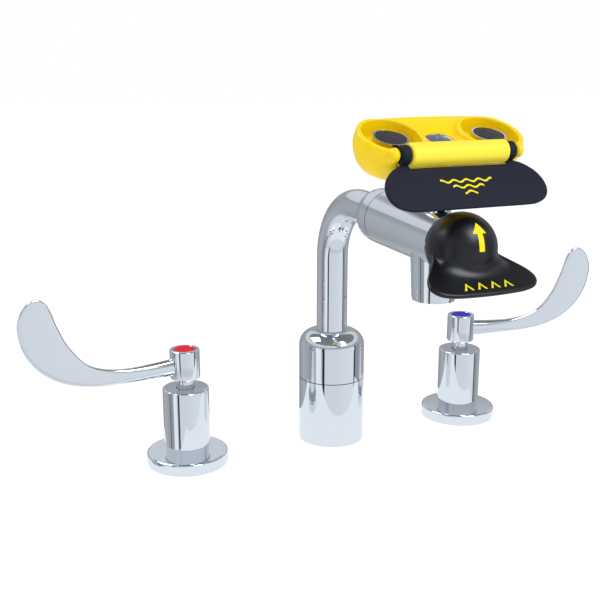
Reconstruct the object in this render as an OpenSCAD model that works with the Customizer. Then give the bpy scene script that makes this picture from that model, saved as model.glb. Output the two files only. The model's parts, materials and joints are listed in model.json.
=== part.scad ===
// Deck-mounted wrist-blade faucet with an eyewash head on its spout.
// Frame: +Z up, origin on the deck's top face at the axis of the centre column.
// X runs along the row of deck holes, hot at -X and cold at +X; the user stands at -Y.

/* [Deck and valves] */
// Distance from the centre column to each valve
valve_pitch = 101.6; // [85:0.1:130]
// Nominal thickness of the deck that the locknuts clamp
deck_t = 25; // [18:1:30]
// Radius of the threaded shanks that pass through the deck
shank_r = 12.7; // [11.5:0.1:13]
// Radius of the valve flange
flange_r = 25.6; // [22:0.1:32]
// Thickness of the valve flange
flange_t = 7.35; // [6:0.05:9]
// Height of the valve sleeve above its neck ring
sleeve_h = 36.75; // [32:0.25:46]
// Radius of the valve sleeve
sleeve_r = 14.45; // [14.2:0.05:18]

/* [Handles] */
// Radius of the handle hub
hub_r = 9.3; // [8.4:0.1:11.5]
// Height of the handle hub
hub_h = 19; // [17:0.5:24]
// Reach of the blade from the hub's axis
blade_reach = 101.2; // [85:0.1:122]
// Height of the blade's tip above the underside of the hub
blade_rise = 61.3; // [50:0.1:74]
// Thickness of the blade
blade_t = 2.6; // [2:0.1:4]
// Angle of the blade from the row of valves towards the user
blade_yaw = 7.5; // [0:0.5:12]
// Radius of the coloured index button
button_r = 6.6; // [5.6:0.1:7.4]

/* [Spout] */
// Radius of the centre column
column_r = 21.6; // [19:0.1:26]
// Height of the column's lower sleeve
base_h = 43; // [37:0.5:52]
// Height of the collar above the lower sleeve
collar_h = 31.5; // [26:0.5:38]
// Radius of the spout tube
tube_r = 10.04; // [9:0.01:11.2]
// Wall of the spout tube
tube_wall = 1.2; // [0.9:0.1:1.6]
// Height of the spout's highest centreline point
spout_top = 162; // [140:0.5:195]
// Radius of the spout's bend, to its centreline
bend_r = 37.8; // [32:0.1:45]
// Slope of the spout's run below horizontal
run_slope = 3.4; // [0:0.1:8]

/* [Eyewash body] */
// Length of the run from the bend to the centre of the lift lever's dome
run_len = 106.55; // [98:0.1:128]
// Length of the rear cap's rounded shoulder
cap_shoulder = 11; // [8:0.5:14]
// Radius of the body at its rear end
body_rear_r = 15.9; // [15.2:0.1:18]
// Radius of the body at its front end
body_front_r = 14.6; // [14.2:0.1:15.8]
// Distance of the outlet and riser axis behind the dome's centre
port_back = 24; // [22:0.5:28]
// Radius of the outlet nozzle at its lower end
nozzle_r = 11.8; // [10.8:0.1:13]
// Height of the outlet nozzle's lower end above the deck
nozzle_z = 125; // [112:0.5:130]
// Radius of the eyewash supply tube's sized inlet end
supply_r = 4.76; // [4:0.01:5.2]

/* [Lift lever] */
// Outer radius of the lever's dome
dome_r = 18.1; // [17.4:0.1:20]
// Wall of the dome
dome_wall = 2; // [1.6:0.1:2.6]
// Distance from the dome's centre to the brim's front edge
brim_reach = 33.7; // [30:0.1:40]
// Half width of the brim at its widest
brim_half = 31; // [26:0.1:36]
// Thickness of the brim
brim_t = 2.5; // [2:0.1:3.5]
// Angle of the brim below the run
brim_tilt = 26.5; // [20:0.5:30]
// Distance from the pivot to the crossbar that pulls the plunger
crossbar_drop = 8.5; // [8:0.1:9]
// Swing of the lift lever
lift_travel = 30; // [20:1:30]

/* [Eyewash bowl] */
// Tilt of the bowl towards the user
bowl_tilt = 20; // [10:0.5:25]
// Height of the spray faces above the body's axis
bowl_height = 52.7; // [50:0.1:64]
// Half the distance between the two spray heads
spray_half = 29.3; // [28:0.1:34]
// Half length of the bowl
bowl_half = 48; // [46.6:0.1:60]
// Half depth of the bowl at its widest level
bowl_depth = 18; // [17.6:0.1:20]
// Radius of each cup
cup_r = 15.4; // [14.6:0.1:15.6]
// Radius of a spray head
spray_r = 9.3; // [8.4:0.1:10]

/* [Dust cover] */
// Radius of the hinge barrel
barrel_r = 5.9; // [5:0.1:6.2]
// Half length of the hinge barrel
barrel_half = 28.2; // [24:0.1:28.4]
// Distance from the hinge axis to the cover's free edge
cover_reach = 31; // [28:0.1:32]
// Half width of the cover at its widest
cover_half = 46.3; // [42:0.1:52]
// Thickness of the cover plate
cover_t = 2; // [1.6:0.1:2.4]
// Angle of the open cover below horizontal
cover_droop = 48; // [40:1:60]

/* [Fits] */
// Radial clearance of a running fit
running = 0.05; // [0.02:0.01:0.09]
// Clearance between parts that move past each other
gap = 0.3; // [0.2:0.05:0.4]

/* [Hidden] */
$fn = 64;

posts = [-valve_pitch, 0, valve_pitch];
eps = 0.01;

// Under the deck
gasket_t = 3;
washer_t = 1.5;
locknut_t = 9;
locknut_flats = 38;
nut_top = -deck_t - gasket_t - washer_t;
shank_end = nut_top - locknut_t - 11.5;
block_r = 17;
block_h = 18;
branch_z = shank_end - block_h / 2 + 1;
block_end = shank_end - block_h;
branch_r = 8;
branch_end = 24;
branch_wall = 16;
crossover_r = 4.76;
inlet_r = 10.65;
inlet_h = 24;
inlet_end = block_end - inlet_h;

// Valve column, from the deck upwards
flange_neck_r = sleeve_r - 0.8;
neck_top = 12.4;
sleeve_z = neck_top + 0.1;
sleeve_top = sleeve_z + sleeve_h;
thread_top = sleeve_z + 9.5;
bonnet_web = 3.25;
cartridge_r = 9.5;
cartridge_top = sleeve_top - bonnet_web - 0.5;
stem_r = 3.5;
stem_neck_r = 5.6;
spline_r = 4.5;
hub_z = sleeve_top + 5.95;
hub_top = hub_z + hub_h;
button_t = 3;
spline_top = hub_z + 10.8;
screw_r = 1.6;
screw_head_r = 3.2;
screw_head_t = 2.2;
screw_seat = spline_top + 2;

// Blade outline, as a share of its reach and of its rise above the hub's underside
blade_outer = [[0.08, 0.05], [0.30, 0.06], [0.55, 0.078], [0.74, 0.152], [0.88, 0.30],
    [0.97, 0.51], [1.0, 0.73], [0.965, 0.90], [0.89, 1.0]];
blade_inner = [[0.845, 0.97], [0.795, 0.80], [0.71, 0.52], [0.59, 0.30], [0.385, 0.205],
    [0.08, 0.225]];
arm_end = 0.45;

// Spout
collar_z = base_h + 0.5;
collar_top = collar_z + collar_h;
shoulder_r = 10;
shank_top = collar_z + 8.5;
tube_foot = shank_top + 4;
tube_bore = tube_r - tube_wall;
water_r = 8;
bend_z = spout_top - bend_r;
bend_turn = 90 + run_slope;
run_y = -bend_r + bend_r * cos(bend_turn);
run_z = bend_z + bend_r * sin(bend_turn);

// Eyewash body, along the run from the end of the bend
cap_u = 16;
seam_u = 32.8;
body_u = seam_u + 0.5;
tube_end_u = body_u + 2.7;
supply_end_u = tube_end_u + 11;
// The supply tube above its sized inlet end
feed_r = supply_r - 0.26;
socket_r = dome_r + 0.35;
dome_y = run_y - run_len * cos(run_slope);
dome_z = run_z - run_len * sin(run_slope);
port_u = run_len - port_back;
port_y = run_y - port_u * cos(run_slope);
port_axis_z = run_z - port_u * sin(run_slope);
chamber_u = port_u - 27;
seat_u = port_u - 16;
seat_t = 3;
valve_r = 3.6;
plunger_r = 1.8;
neck_r = 5;
pivot_r = 2;
pivot_half = dome_r - 2.5;
channel_r = 2.2;
channel_x = 8.5;
channel_y = -6;
nozzle_bore = nozzle_r - 2.2;
nozzle_taper = 0.05;
aerator_drop = 1.5;
thread_gap = 0.1;

// Lift lever
dome_in = dome_r - dome_wall;
rim_back = 10;
boss_in = 8.5;
boss_r = 4.2;
crossbar_r = 1.2;
crossbar_boss = 10.5;
crossbar_half = sqrt(pow(dome_in, 2) - pow(crossbar_drop, 2)) - 0.3;
brim_low = 3.1;
brim_corner = 6;
dome_cut = 13;
fork_half = 2.7;

// Eyewash bowl, in its own tilted frame with the spray faces at height zero
bowl_y = port_y - 1.7;
bowl_z = port_axis_z + bowl_height;
cup_x = spray_half;
cup_floor = -8.6;
cup_rim = 2.4;
saddle = -2;
belt = -4.4;
rim_back_y = 16.4;
rim_z = 3.4;
rim_slope = 5.4;
manifold_r = 5;
manifold_z = cup_floor - manifold_r - 0.8;
spray_stem_r = manifold_r - 0.4;
bowl_bottom = manifold_z - manifold_r - 0.8;
riser_r = 7.5;
riser_bore = 3.2;
riser_top = bowl_z - 26.8;
hub_top_z = bowl_z - 13.8;
hinge_y = -17.1;
hinge_z = -1.65;
cheek_in = barrel_half + 5.2;
cheek_t = 5;
cheek_r = 4.2;
pin_r = 1.6;
screen_r = spray_r - 0.9;
screen_t = 1.2;
bolt_r = 3;
bolt_head_r = 7.8;

// Dust cover
ear_r = 4.8;
ear_in = barrel_half + 0.4;
ear_out = cheek_in - 0.4;
cover_offset = 3;
cover_start = 6.3;

// ---------- helpers ----------

function spline_point(a, b, c, d, t) =
    0.5 * (2 * b + (c - a) * t + (2 * a - 5 * b + 4 * c - d) * t * t
    + (3 * b - a - 3 * c + d) * t * t * t);

// Smooth curve through the points p, with n steps between each pair
function smooth(p, n) = let (m = len(p) - 1)
    [for (i = [0 : m - 1]) for (k = [0 : n - 1])
        spline_point(p[max(i - 1, 0)], p[i], p[i + 1], p[min(i + 2, m)], k / n), p[m]];

module pipe(h, r, bore) {
    difference() {
        cylinder(h = h, r = r);
        translate([0, 0, -1]) cylinder(h = h + 2, r = bore);
    }
}

module hex_nut(h, flats, bore) {
    difference() {
        cylinder(h = h, r = flats / sqrt(3), $fn = 6);
        translate([0, 0, -1]) cylinder(h = h + 2, r = bore);
    }
}

// A cylinder along X, centred on the origin
module x_rod(half, r) {
    rotate([0, 90, 0]) translate([0, 0, -half]) cylinder(h = 2 * half, r = r);
}

// The run's frame: +Z along the spout's run, +Y up, origin at the end of the bend
module on_run(u = 0) {
    translate([0, run_y, run_z]) rotate([90 + run_slope, 0, 0]) translate([0, 0, u]) children();
}

module on_bowl() {
    translate([0, bowl_y, bowl_z]) rotate([bowl_tilt, 0, 0]) children();
}

module on_hinge() {
    on_bowl() translate([0, hinge_y, hinge_z]) children();
}

module at_valve(side) {
    translate([side * valve_pitch, 0, 0]) children();
}

module on_posts(places) {
    for (x = places) translate([x, 0, 0]) children();
}

// ---------- under the deck ----------

module under_deck_gaskets() {
    color("#202225") on_posts(posts) translate([0, 0, -deck_t - gasket_t])
        pipe(gasket_t, 23, shank_r + 0.2);
}

module clamp_washers() {
    color("#b9bcc2") on_posts(posts) translate([0, 0, nut_top]) pipe(washer_t, 24.5, shank_r + 0.2);
}

module locknuts() {
    color("#b08d45") on_posts(posts) translate([0, 0, nut_top - locknut_t])
        hex_nut(locknut_t, locknut_flats, shank_r);
}

module branch(direction) {
    translate([0, 0, branch_z]) rotate([0, direction * 90, 0]) cylinder(h = branch_end, r = branch_r);
}

module branch_bore(direction) {
    translate([0, 0, branch_z]) rotate([0, direction * 90, 0]) {
        translate([0, 0, branch_wall]) cylinder(h = branch_end, r = crossover_r);
        cylinder(h = branch_end, r = crossover_r - 1.3);
    }
}

module mixing_tee() {
    color("#b08d45") difference() {
        union() {
            translate([0, 0, block_end]) cylinder(h = block_h + 6, r = block_r);
            branch(-1);
            branch(1);
        }
        translate([0, 0, shank_end]) cylinder(h = 10, r = shank_r);
        translate([0, 0, block_end + 5]) cylinder(h = block_h, r = water_r);
        translate([0, 0, block_end - 1]) cylinder(h = block_h, r = feed_r);
        branch_bore(-1);
        branch_bore(1);
    }
}

module crossover_tube(side) {
    start = branch_wall;
    color("#b87333") translate([side * start, 0, branch_z]) rotate([0, side * 90, 0])
        pipe(valve_pitch - 2 * start, crossover_r, crossover_r - 1);
}

module compression_nuts() {
    color("#b08d45") for (side = [-1, 1], start = [branch_end, valve_pitch - branch_end - 7])
        translate([side * start, 0, branch_z]) rotate([0, side * 90, 0])
            hex_nut(7, 16, crossover_r);
}

module valve_body(side) {
    color("#b08d45") at_valve(side) difference() {
        union() {
            translate([0, 0, block_end]) cylinder(h = block_h + eps, r = block_r);
            translate([0, 0, shank_end]) cylinder(h = thread_top - shank_end, r = shank_r);
            translate([0, 0, inlet_end]) cylinder(h = inlet_h + eps, r = inlet_r);
            branch(-side);
        }
        translate([0, 0, inlet_end - 1]) cylinder(h = 10 - inlet_end, r = 6);
        translate([0, 0, -20]) cylinder(h = 20 + thread_top + 1, r = cartridge_r);
        branch_bore(-side);
    }
}

// ---------- valves ----------

module flange_gaskets() {
    color("#202225") on_posts([-valve_pitch, valve_pitch]) pipe(1.5, flange_r - 3.6, shank_r + 0.2);
}

module flange(side) {
    edge = 1.2;
    color("#d5d8dd") at_valve(side) difference() {
        rotate_extrude() {
            square([flange_r, flange_t - edge]);
            square([flange_r - edge, flange_t]);
            translate([flange_r - edge, flange_t - edge]) circle(edge);
            square([flange_neck_r, neck_top]);
        }
        translate([0, 0, -1]) cylinder(h = 2.5, r = flange_r - 3.5);
        translate([0, 0, -1]) cylinder(h = neck_top + 2, r = shank_r);
    }
}

module sleeve(side) {
    edge = 1;
    color("#d5d8dd") at_valve(side) difference() {
        rotate_extrude() {
            translate([0, sleeve_z]) square([sleeve_r, sleeve_h - edge]);
            translate([0, sleeve_z]) square([sleeve_r - edge, sleeve_h]);
            translate([sleeve_r - edge, sleeve_top - edge]) circle(edge);
        }
        translate([0, 0, sleeve_z - 1]) cylinder(h = thread_top - sleeve_z + 1, r = shank_r);
        translate([0, 0, sleeve_z - 1]) cylinder(h = sleeve_h + 1 - bonnet_web, r = shank_r - 0.6);
        translate([0, 0, sleeve_z]) cylinder(h = sleeve_h + 1, r = stem_neck_r + gap);
    }
}

module cartridge(side) {
    color("#8f9499") at_valve(side) difference() {
        union() {
            translate([0, 0, -18]) cylinder(h = 18 + thread_top, r = cartridge_r);
            translate([0, 0, thread_top]) cylinder(h = 4, r = cartridge_r + 1);
            translate([0, 0, thread_top]) cylinder(h = cartridge_top - thread_top, r = 7.5);
        }
        translate([0, 0, -6]) cylinder(h = cartridge_top + 8, r = stem_r + running);
        translate([0, 0, -19]) cylinder(h = 14, r = 2.5);
    }
}

module stem(side) {
    color("#d5d8dd") at_valve(side) difference() {
        union() {
            translate([0, 0, -5]) cylinder(h = cartridge_top + 5 + gap + 1, r = stem_r);
            translate([0, 0, cartridge_top + gap]) cylinder(h = hub_z - cartridge_top - gap, r = stem_neck_r);
            translate([0, 0, hub_z - eps]) cylinder(h = spline_top - hub_z + eps, r = spline_r);
        }
        translate([0, 0, spline_top - 9.5]) cylinder(h = 12, r = screw_r);
    }
}

module blade_outline() {
    scale_to = [blade_reach, blade_rise];
    points = concat(smooth(blade_outer, 5), smooth(blade_inner, 5));
    polygon([for (p = points) [p[0] * scale_to[0], p[1] * scale_to[1]]]);
}

// The blade lies along +X, with its mid-plane on the hub's axis
module blade() {
    root_z = 0.137 * blade_rise;
    arm_z = 0.16 * blade_rise;
    translate([0, blade_t / 2, 0]) rotate([90, 0, 0]) linear_extrude(blade_t) blade_outline();
    hull() {
        translate([hub_r - 1.6, 0, root_z]) scale([0.1, 3.5, 5.9]) sphere(1, $fn = 32);
        translate([arm_end * blade_reach, 0, arm_z]) scale([2, 0.5 * blade_t, 3]) sphere(1, $fn = 24);
    }
}

module handle(side) {
    turn = side > 0 ? -blade_yaw : 180 + blade_yaw;
    chamfer = 1;
    color("#dfe2e6") at_valve(side) translate([0, 0, hub_z]) difference() {
        union() {
            rotate_extrude() {
                polygon([[0, 0], [hub_r - chamfer, 0], [hub_r, chamfer], [hub_r, hub_h - 0.6],
                    [hub_r - 0.6, hub_h], [0, hub_h]]);
            }
            rotate([0, 0, turn]) blade();
        }
        translate([0, 0, -1]) cylinder(h = spline_top - hub_z + 1, r = spline_r);
        cylinder(h = hub_h, r = screw_r);
        translate([0, 0, screw_seat - hub_z]) cylinder(h = hub_h, r = screw_head_r);
        translate([0, 0, hub_h - button_t]) cylinder(h = hub_h, r = button_r);
    }
}

module handle_screw(side) {
    color("#9a9da3") at_valve(side) difference() {
        union() {
            translate([0, 0, spline_top - 9]) cylinder(h = screw_seat - spline_top + 9 + eps, r = screw_r);
            translate([0, 0, screw_seat]) cylinder(h = screw_head_t, r = screw_head_r);
        }
        translate([0, 0, screw_seat + 0.8]) cylinder(h = 3, r = 1.5, $fn = 6);
    }
}

module index_button(side, shade) {
    color(shade) at_valve(side) translate([0, 0, hub_top - button_t]) cylinder(h = button_t, r = button_r);
}

// ---------- centre column and spout ----------

module spout_base() {
    web = 6;
    color("#cfd2d8") difference() {
        cylinder(h = base_h, r = column_r);
        translate([0, 0, web]) cylinder(h = base_h - 2 * web, r = column_r - 2);
        translate([0, 0, -1]) cylinder(h = base_h + 2, r = shank_r);
    }
}

module column_seal() {
    color("#1d1f22") translate([0, 0, base_h]) pipe(collar_z - base_h, column_r - 0.4, shank_r);
}

module spout_collar() {
    color("#d5d8dd") difference() {
        rotate_extrude() {
            translate([0, collar_z]) square([column_r, collar_h - shoulder_r]);
            translate([0, collar_z]) square([column_r - shoulder_r, collar_h]);
            intersection() {
                translate([column_r - shoulder_r, collar_top - shoulder_r]) circle(shoulder_r);
                translate([0, collar_z]) square([column_r, collar_h]);
            }
        }
        translate([0, 0, collar_z - 1]) cylinder(h = shank_top - collar_z + 1, r = shank_r);
        translate([0, 0, collar_z]) cylinder(h = collar_h, r = tube_bore);
        translate([0, 0, tube_foot]) cylinder(h = collar_h, r = tube_r);
    }
}

module spout_shank() {
    color("#b08d45") translate([0, 0, shank_end]) pipe(shank_top - shank_end, shank_r, water_r);
}

// A tube along the spout's centreline: up, round the bend and along the run
module spout_path(foot, end_u, r) {
    translate([0, 0, foot]) cylinder(h = bend_z - foot, r = r);
    translate([0, -bend_r, bend_z]) rotate([90, 0, 90]) rotate_extrude(angle = bend_turn)
        translate([bend_r, 0]) circle(r);
    on_run() cylinder(h = end_u, r = r);
}

module spout_tube() {
    color("#d5d8dd") difference() {
        spout_path(tube_foot, tube_end_u, tube_r);
        spout_path(tube_foot - 1, tube_end_u + 1, tube_bore);
    }
}

module eyewash_supply_tube() {
    color("#b87333") difference() {
        union() {
            spout_path(inlet_end, supply_end_u, feed_r);
            translate([0, 0, inlet_end]) cylinder(h = inlet_h, r = supply_r);
        }
        spout_path(inlet_end - 1, supply_end_u + 1, supply_r - 1);
    }
}

// ---------- eyewash body ----------

module rear_cap() {
    steps = 10;
    rise = body_rear_r - tube_r;
    shoulder = [for (i = [0 : steps]) let (a = 90 * i / steps)
        [tube_r + rise * sin(a), cap_u + cap_shoulder * (1 - cos(a))]];
    color("#d5d8dd") on_run() rotate_extrude()
        polygon(concat([[tube_r, cap_u]], [for (i = [1 : steps]) shoulder[i]],
            [[body_rear_r, seam_u], [tube_r, seam_u]]));
}

module cap_seal() {
    color("#1d1f22") on_run(seam_u) pipe(body_u - seam_u, body_rear_r - 0.4, tube_r);
}

// The body's outer form, before its bores
module body_form() {
    front_u = run_len - 10;
    on_run(body_u) cylinder(h = front_u - body_u, r1 = body_rear_r, r2 = body_front_r);
}

module diverter_body() {
    color("#cfd2d8") difference() {
        union() {
            difference() {
                body_form();
                on_run(run_len) sphere(socket_r);
            }
            on_run(run_len - socket_r - 1.2) cylinder(h = socket_r + 5.7, r = neck_r);
        }
        on_run(body_u - 1) cylinder(h = tube_end_u - body_u + 1, r = tube_r);
        on_run(body_u) cylinder(h = tube_end_u - body_u + 8, r = tube_bore);
        on_run(tube_end_u) cylinder(h = supply_end_u - tube_end_u, r = feed_r);
        on_run(tube_end_u) cylinder(h = chamber_u + 6 - tube_end_u, r = 3);
        on_run() translate([0, -crossbar_drop, 0]) {
            translate([0, 0, chamber_u]) cylinder(h = port_u + 1.5 - chamber_u, r = valve_r);
            translate([0, 0, port_u]) cylinder(h = port_back, r = plunger_r + running);
        }
        on_run(chamber_u + 3) rotate([90, 0, 0]) cylinder(h = crossbar_drop, r = 2.4);
        for (side = [-1, 1]) {
            on_run(tube_end_u + 4) translate([side * channel_x, channel_y, 0])
                cylinder(h = port_u - tube_end_u - 4, r = channel_r);
            translate([side * channel_x, port_y, port_axis_z - body_rear_r])
                cylinder(h = body_rear_r + channel_y, r = channel_r);
        }
        translate([0, port_y, port_axis_z - crossbar_drop]) cylinder(h = crossbar_drop + body_rear_r, r = riser_bore);
        on_run(run_len) x_rod(neck_r + 1, pivot_r);
    }
}

module outlet_nozzle() {
    top = port_axis_z;
    color("#cfd2d8") difference() {
        translate([0, port_y, nozzle_z])
            cylinder(h = top - nozzle_z, r1 = nozzle_r, r2 = nozzle_r + nozzle_taper * (top - nozzle_z));
        translate([0, port_y, nozzle_z - 1]) cylinder(h = top - nozzle_z, r = nozzle_bore);
        body_form();
        on_run(run_len) sphere(socket_r);
    }
}

module aerator_housing() {
    color("#c5c8ce") translate([0, port_y, nozzle_z]) difference() {
        union() {
            translate([0, 0, -aerator_drop]) cylinder(h = aerator_drop + 7, r = nozzle_bore - thread_gap);
            translate([0, 0, -aerator_drop]) cylinder(h = aerator_drop, r = nozzle_r - 0.4);
        }
        translate([0, 0, -aerator_drop - 1]) cylinder(h = 13, r = nozzle_bore - 1.6);
    }
}

module aerator_screen() {
    color("#6b6e74") translate([0, port_y, nozzle_z + 0.2 - aerator_drop / 2]) cylinder(h = 1, r = nozzle_bore - 1.6);
}

module valve_seat() {
    color("#b08d45") on_run(seat_u) translate([0, -crossbar_drop, 0]) pipe(seat_t, valve_r, 2.2);
}

module plunger_seal() {
    color("#202225") on_run(seat_u + seat_t + 0.1) translate([0, -crossbar_drop, 0])
        cylinder(h = 1.5, r = valve_r - 0.4);
}

module valve_plunger() {
    disc_u = seat_u + seat_t + 1.6;
    slot = crossbar_r + gap;
    color("#b08d45") on_run() difference() {
        union() {
            translate([0, -crossbar_drop, disc_u]) cylinder(h = 1.5, r = valve_r - 0.3);
            translate([0, -crossbar_drop, disc_u]) cylinder(h = run_len - fork_half - disc_u + 0.5, r = plunger_r);
            translate([-1.9, -crossbar_drop - 2.7, run_len - fork_half]) cube([3.8, 4.3, 2 * fork_half]);
        }
        translate([-3, -crossbar_drop - slot, run_len - slot]) cube([6, 8, 2 * slot]);
    }
}

// ---------- lift lever ----------

module lever_pivot_pin() {
    color("#c8ccd2") on_run(run_len) x_rod(pivot_half, pivot_r);
}

module lever_crossbar() {
    color("#c8ccd2") on_run(run_len) translate([0, -crossbar_drop, 0]) x_rod(crossbar_half, crossbar_r);
}

module brim_outline() {
    corner = [brim_half - brim_corner, brim_reach - brim_corner - 2.2];
    hull() {
        circle(dome_r - 1);
        for (side = [-1, 1]) translate([side * corner[0], corner[1]]) circle(brim_corner);
        for (side = [-1, 0, 1]) translate([side * brim_half / 2.6, brim_reach - brim_corner - 0.7 * abs(side)])
            circle(brim_corner);
    }
}

module dome_form() {
    rotate_extrude() intersection() {
        circle(dome_r);
        translate([0, -rim_back]) square([dome_r, 2 * dome_r]);
    }
}

module lift_lever() {
    big = 3 * dome_r;
    color("#16171c") on_run(run_len) difference() {
        union() {
            difference() {
                union() {
                    dome_form();
                    rotate([brim_tilt, 0, 0]) translate([0, brim_t - brim_low, 0]) rotate([90, 0, 0])
                        linear_extrude(brim_t) difference() {
                            brim_outline();
                            translate([-big, -big - 0.5 * rim_back]) square([2 * big, big]);
                        }
                }
                sphere(dome_in);
                rotate([brim_tilt, 0, 0]) translate([-big, -dome_cut - big, -big]) cube([2 * big, big, 2 * big]);
            }
            for (side = [-1, 1]) {
                rotate([0, side * 90, 0]) translate([0, 0, boss_in])
                    cylinder(h = dome_in + 0.45 * dome_wall - boss_in, r = boss_r);
                translate([0, -crossbar_drop, 0]) rotate([0, side * 90, 0])
                    translate([0, 0, crossbar_boss]) cylinder(h = crossbar_half + 1 - crossbar_boss, r = 2 * crossbar_r);
            }
        }
        x_rod(pivot_half + gap, pivot_r + running);
        translate([0, -crossbar_drop, 0]) x_rod(crossbar_half, crossbar_r);
    }
}

// ---------- eyewash head ----------

module bowl_riser() {
    color("#d5d8dd") difference() {
        translate([0, port_y, port_axis_z]) cylinder(h = riser_top - port_axis_z, r = riser_r);
        translate([0, port_y, port_axis_z]) cylinder(h = riser_top, r = riser_bore);
        body_form();
    }
}

module riser_collar() {
    color("#c5c8ce") translate([0, port_y, riser_top - 4]) pipe(8, riser_r + 2.5, riser_r);
}

// The manifold's outer form, with its spray stems carried on above the cup floor for a cut
module manifold_form(above = 0) {
    on_bowl() {
        translate([0, 0, manifold_z]) x_rod(spray_half + manifold_r + 1, manifold_r);
        for (side = [-1, 1]) translate([side * spray_half, 0, manifold_z])
            cylinder(h = cup_floor - manifold_z + above, r = spray_stem_r);
    }
    translate([0, port_y, riser_top]) cylinder(h = hub_top_z - riser_top, r = riser_r);
}

module spray_manifold() {
    color("#b08d45") difference() {
        manifold_form();
        on_bowl() {
            translate([0, 0, manifold_z]) x_rod(spray_half, manifold_r - 1.5);
            for (side = [-1, 1]) translate([side * spray_half, 0, manifold_z])
                cylinder(h = 2 * manifold_r, r = spray_stem_r - 1.6);
            translate([0, 0, cup_floor - 3]) cylinder(h = 20, r = bolt_r);
        }
        translate([0, port_y, riser_top - 1]) cylinder(h = hub_top_z - riser_top - 3, r = riser_bore);
    }
}

module stadium(half, r, h) {
    for (side = [-1, 1]) translate([side * (half - r), 0, 0]) cylinder(h = h, r = r, $fn = 48);
}

// The bowl's outer form: widest at the belt, with a boat-shaped underside
module bowl_form() {
    hull() {
        translate([0, 0, rim_z]) stadium(bowl_half - 1.4, bowl_depth - 1.2, 1);
        translate([0, 0, belt]) stadium(bowl_half, bowl_depth, 0.5);
        translate([0, 0, -10]) stadium(bowl_half - 1.8, bowl_depth - 1.4, 0.5);
        translate([0, 0, -16]) stadium(bowl_half - 5.5, bowl_depth - 4.6, 0.5);
        translate([0, 0, bowl_bottom]) stadium(bowl_half - 12, bowl_depth - 10, 0.5);
    }
}

module eyewash_bowl() {
    big = 4 * bowl_depth;
    floor_y = bowl_depth - cup_rim;
    color("#f7d60a") difference() {
        on_bowl() difference() {
            union() {
                bowl_form();
                for (side = [-1, 1]) translate([side * (cheek_in + cheek_t / 2), hinge_y, hinge_z])
                    x_rod(cheek_t / 2, cheek_r);
            }
            for (side = [-1, 1]) translate([side * cup_x, 0, cup_floor]) cylinder(h = big, r = cup_r);
            translate([0, 0, saddle]) linear_extrude(big) difference() {
                square([2 * cup_x, 2 * floor_y], center = true);
                for (side = [-1, 1]) translate([side * cup_x, 0]) circle(cup_r + cup_rim);
            }
            translate([-cheek_in, -big, hinge_z - barrel_r - 0.6])
                cube([2 * cheek_in, big + hinge_y + barrel_r + 0.2, big]);
            translate([0, rim_back_y, rim_z]) rotate([rim_slope, 0, 0])
                translate([-big, -big, 0]) cube([2 * big, 2 * big, big]);
            translate([0, hinge_y, hinge_z]) x_rod(cheek_in + cheek_t + 1, pin_r);
            translate([0, 0, cup_floor - 3]) cylinder(h = big, r = bolt_r);
        }
        manifold_form(1);
        translate([0, port_y, riser_top - 10]) cylinder(h = 12, r = riser_r);
        translate([0, port_y, riser_top - 10]) cylinder(h = 10 + 4.3, r = riser_r + 2.8);
    }
}

module centre_bolt() {
    color("#d5d8dd") on_bowl() {
        translate([0, 0, cup_floor - 3]) cylinder(h = saddle - cup_floor + 3 + eps, r = bolt_r);
        translate([0, 0, saddle]) rotate_extrude() {
            square([bolt_head_r, 0.8]);
            square([bolt_head_r - 0.6, 1.3]);
        }
    }
}

module spray_head(side) {
    color("#c9ccd2") on_bowl() translate([side * spray_half, 0, 0]) difference() {
        union() {
            translate([0, 0, cup_floor]) cylinder(h = 4, r = 6.2);
            translate([0, 0, -7]) cylinder(h = 7, r = spray_r);
        }
        translate([0, 0, cup_floor - 1]) cylinder(h = 10, r = 2.4);
        translate([0, 0, -5.5]) cylinder(h = 10, r = screen_r - 1);
        translate([0, 0, -1]) cylinder(h = 5, r = screen_r);
    }
}

module spray_screen(side) {
    color("#6a6e78") on_bowl() translate([side * spray_half, 0, -1]) cylinder(h = screen_t, r = screen_r);
}

module hinge_barrel() {
    edge = 1.5;
    color("#fbe94a") on_hinge() difference() {
        rotate([0, 90, 0]) rotate_extrude() {
            translate([0, -barrel_half]) square([barrel_r - edge, 2 * barrel_half]);
            translate([0, edge - barrel_half]) square([barrel_r, 2 * (barrel_half - edge)]);
            for (side = [-1, 1]) translate([barrel_r - edge, side * (barrel_half - edge)]) circle(edge);
        }
        x_rod(barrel_half + 1, pin_r);
    }
}

module hinge_pin() {
    color("#c8ccd2") on_hinge() x_rod(cheek_in + cheek_t - 0.4, pin_r);
}

// Half of the cover's outline beyond its ear, as places along X and away from the hinge
function cover_side() = smooth([
    [ear_out, 4.6], [ear_out + 3, 5.4], [cover_half - 6, 8.2], [cover_half - 2.2, 12.4], [cover_half, 18],
    [cover_half - 0.6, cover_reach - 7.6], [cover_half - 3.6, cover_reach - 3.2],
    [cover_half - 9, cover_reach - 0.7], [cover_half - 15.6, cover_reach], [14, cover_reach]], 4);

module cover_plate() {
    half = concat([[ear_in, cover_start], [ear_in, 0], [ear_out, 0]], cover_side());
    last = len(half) - 1;
    linear_extrude(cover_t) polygon(concat(
        [for (p = half) [p[0], -p[1]]], [for (i = [last : -1 : 0]) [-half[i][0], -half[i][1]]]));
}

module dust_cover() {
    color("#2b2f3d") on_hinge() rotate([-bowl_tilt, 0, 0]) rotate([cover_droop - 90, 0, 0]) difference() {
        union() {
            translate([0, cover_offset + cover_t / 2, 0]) rotate([90, 0, 0]) cover_plate();
            for (side = [-1, 1]) translate([side * (ear_in + ear_out) / 2, 0, 0])
                x_rod((ear_out - ear_in) / 2, ear_r);
        }
        x_rod(cheek_in, pin_r + running);
    }
}

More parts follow.
